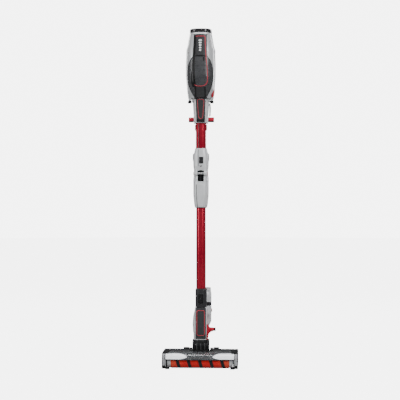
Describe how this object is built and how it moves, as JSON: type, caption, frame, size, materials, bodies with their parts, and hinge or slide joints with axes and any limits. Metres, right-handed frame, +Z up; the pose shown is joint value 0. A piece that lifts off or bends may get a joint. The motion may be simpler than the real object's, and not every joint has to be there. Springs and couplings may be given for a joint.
{
  "type": "cordless stick vacuum",
  "caption": "Upright cordless stick vacuum: twin-roller floor head, tilting and swivelling neck, folding wand, and a detachable hand unit with dust cup and battery.",
  "frame": {"origin": "on the floor under the wand's axis, at the centre of the footprint", "axes": "+Z up the wand, -Y the front of the floor head, +X to the right as seen from the front"},
  "size_m": [0.26, 0.192, 1.17],
  "materials": {
    "silver_plastic": "satin silver-grey moulding",
    "light_plastic": "light silver-grey moulding",
    "dark_plastic": "fine matte dark grey",
    "black_plastic": "matte black",
    "panel_plastic": "satin dark grey panel with red piping",
    "smoked_clear": "smoked transparent",
    "clear_window": "clear moulded window",
    "lamp_lens": "frosted light bar",
    "red_metal": "anodised red tube",
    "red_plastic": "glossy red moulding",
    "plush_red": "short plush with dark spiral stripes",
    "bristle": "nylon tufts",
    "steel": "ground steel pin",
    "motor_metal": "cast and machined motor case",
    "rubber_black": "soft black rubber",
    "tyre_black": "dark tyre on a grey hub",
    "filter_foam": "washable foam and felt",
    "hose_rubber": "corrugated hose",
    "board_green": "circuit board"
  },
  "bodies": {
    "nozzle": {"nozzle_base": "dark_plastic", "nozzle_cover": "dark_plastic", "front_window": "clear_window", "headlights": "lamp_lens", "end_cap_left": "dark_plastic", "end_cap_right": "dark_plastic", "brush_motor": "motor_metal", "drive_belts": "rubber_black", "pivot_pins": "steel", "nozzle_screws": "steel"},
    "latch_left": {"window_latch_left": "black_plastic"},
    "latch_right": {"window_latch_right": "black_plastic"},
    "soft_roller": {"soft_roller_core": "light_plastic", "soft_roller_sleeve": "plush_red"},
    "brush_roll": {"brush_roll_core": "black_plastic", "brush_roll_bristles": "bristle"},
    "rear_wheel_left": {"wheel_left": "tyre_black"},
    "rear_wheel_right": {"wheel_right": "tyre_black"},
    "yoke": {"neck_yoke": "dark_plastic", "neck_hose": "hose_rubber"},
    "neck": {"neck_shell_front": "light_plastic", "neck_shell_rear": "light_plastic", "neck_panel": "panel_plastic", "neck_duct": "dark_plastic", "tool_bracket": "red_plastic"},
    "tool": {"crevice_tool": "light_plastic"},
    "brush_tool": {"dusting_brush": "light_plastic"},
    "lower_wand": {"lower_wand_tube": "red_metal", "wand_foot": "dark_plastic", "flex_lower_front": "light_plastic", "flex_lower_rear": "light_plastic", "flex_pin": "red_metal", "flex_hose": "hose_rubber"},
    "nozzle_release": {"nozzle_release_button": "black_plastic"},
    "upper_wand": {"flex_upper_front": "light_plastic", "flex_upper_rear": "light_plastic", "upper_wand_tube": "red_metal", "accessory_clip": "red_plastic"},
    "flex_release_left": {"flex_button_left": "light_plastic"},
    "flex_release_right": {"flex_button_right": "light_plastic"},
    "hand_unit": {"side_shell_left": "silver_plastic", "side_shell_right": "silver_plastic", "rubber_pads": "rubber_black", "spine_panel": "panel_plastic", "inlet_collar": "light_plastic", "collar_panel": "panel_plastic", "dust_cup": "smoked_clear", "cyclone_shroud": "motor_metal", "pre_motor_filter": "filter_foam", "suction_motor": "motor_metal", "control_board": "board_green", "body_screws": "steel"},
    "fan": {"impeller": "motor_metal"},
    "trigger_body": {"trigger": "red_plastic"},
    "mode_switch": {"mode_button": "black_plastic"},
    "cup_door": {"dust_cup_door": "panel_plastic"},
    "door_release": {"door_release_button": "red_plastic"},
    "battery": {"battery_pack": "dark_plastic"},
    "battery_catch": {"battery_latch": "black_plastic"},
    "wand_release": {"wand_release_lever": "light_plastic"}
  },
  "joints": [
    {"name": "soft_roller_spin", "type": "hinge", "parent": "nozzle", "child": "soft_roller", "pos_m": [0, -0.064, 0.024], "axis": [1, 0, 0], "continuous": true},
    {"name": "brush_roll_spin", "type": "hinge", "parent": "nozzle", "child": "brush_roll", "pos_m": [0, -0.017, 0.0195], "axis": [1, 0, 0], "continuous": true},
    {"name": "wheel_left_spin", "type": "hinge", "parent": "nozzle", "child": "rear_wheel_left", "pos_m": [-0.053, 0.037, 0.027], "axis": [1, 0, 0], "continuous": true},
    {"name": "wheel_right_spin", "type": "hinge", "parent": "nozzle", "child": "rear_wheel_right", "pos_m": [0.053, 0.037, 0.027], "axis": [1, 0, 0], "continuous": true},
    {"name": "latch_left_slide", "type": "slide", "parent": "nozzle", "child": "latch_left", "axis": [1, 0, 0], "range_m": [0, 0.005]},
    {"name": "latch_right_slide", "type": "slide", "parent": "nozzle", "child": "latch_right", "axis": [-1, 0, 0], "range_m": [0, 0.005]},
    {"name": "neck_tilt", "type": "hinge", "parent": "nozzle", "child": "yoke", "pos_m": [0, 0.012, 0.038], "axis": [-1, 0, 0], "range_deg": [0, 78], "deforming": ["neck_hose"]},
    {"name": "neck_swivel", "type": "hinge", "parent": "yoke", "child": "neck", "pos_m": [0, 0, 0.085], "axis": [0, 0, 1], "range_deg": [-60, 60]},
    {"name": "crevice_tool_lift", "type": "slide", "parent": "neck", "child": "tool", "axis": [0, 0, 1], "range_m": [0, 0.09]},
    {"name": "dusting_brush_lift", "type": "slide", "parent": "tool", "child": "brush_tool", "axis": [0, 0, 1], "range_m": [0, 0.066]},
    {"name": "wand_lift", "type": "slide", "parent": "neck", "child": "lower_wand", "axis": [0, 0, 1], "range_m": [0, 0.055]},
    {"name": "nozzle_release_press", "type": "slide", "parent": "lower_wand", "child": "nozzle_release", "axis": [0, 1, 0], "range_m": [0, 0.002], "stiffness_N_per_m": 400},
    {"name": "flex_fold", "type": "hinge", "parent": "lower_wand", "child": "upper_wand", "pos_m": [0, -0.02, 0.67], "axis": [1, 0, 0], "range_deg": [0, 160], "deforming": ["flex_hose"]},
    {"name": "flex_button_left_press", "type": "slide", "parent": "upper_wand", "child": "flex_release_left", "axis": [1, 0, 0], "range_m": [0, 0.0025], "stiffness_N_per_m": 400},
    {"name": "flex_button_right_press", "type": "slide", "parent": "upper_wand", "child": "flex_release_right", "axis": [-1, 0, 0], "range_m": [0, 0.0025], "stiffness_N_per_m": 400},
    {"name": "hand_unit_lift", "type": "slide", "parent": "upper_wand", "child": "hand_unit", "axis": [0, 0, 1], "range_m": [0, 0.065]},
    {"name": "impeller_spin", "type": "hinge", "parent": "hand_unit", "child": "fan", "pos_m": [0, -0.027, 1.095], "axis": [0, 0, 1], "continuous": true},
    {"name": "trigger_pull", "type": "slide", "parent": "hand_unit", "child": "trigger_body", "axis": [0, 1, 0], "range_m": [0, 0.005], "stiffness_N_per_m": 300},
    {"name": "mode_press", "type": "slide", "parent": "hand_unit", "child": "mode_switch", "axis": [0, 0, -1], "range_m": [0, 0.0015], "stiffness_N_per_m": 600},
    {"name": "dust_door_open", "type": "hinge", "parent": "hand_unit", "child": "cup_door", "pos_m": [0, -0.03, 0.936], "axis": [1, 0, 0], "range_deg": [0, 100]},
    {"name": "door_release_press", "type": "slide", "parent": "hand_unit", "child": "door_release", "axis": [-1, 0, 0], "range_m": [0, 0.002], "stiffness_N_per_m": 500},
    {"name": "battery_slide", "type": "slide", "parent": "hand_unit", "child": "battery", "axis": [0, 0, 1], "range_m": [0, 0.13]},
    {"name": "battery_latch_press", "type": "slide", "parent": "hand_unit", "child": "battery_catch", "axis": [-1, 0, 0], "range_m": [0, 0.002], "stiffness_N_per_m": 500},
    {"name": "wand_release_tilt", "type": "hinge", "parent": "hand_unit", "child": "wand_release", "pos_m": [0.0254, 0, 0.9135], "axis": [0, 1, 0], "range_deg": [0, 4.5], "stiffness_Nm_per_rad": 0.6}
  ],
  "couplings": [
    {"joint": "brush_roll_spin", "follows": "soft_roller_spin", "ratio": 1.3846}
  ]
}
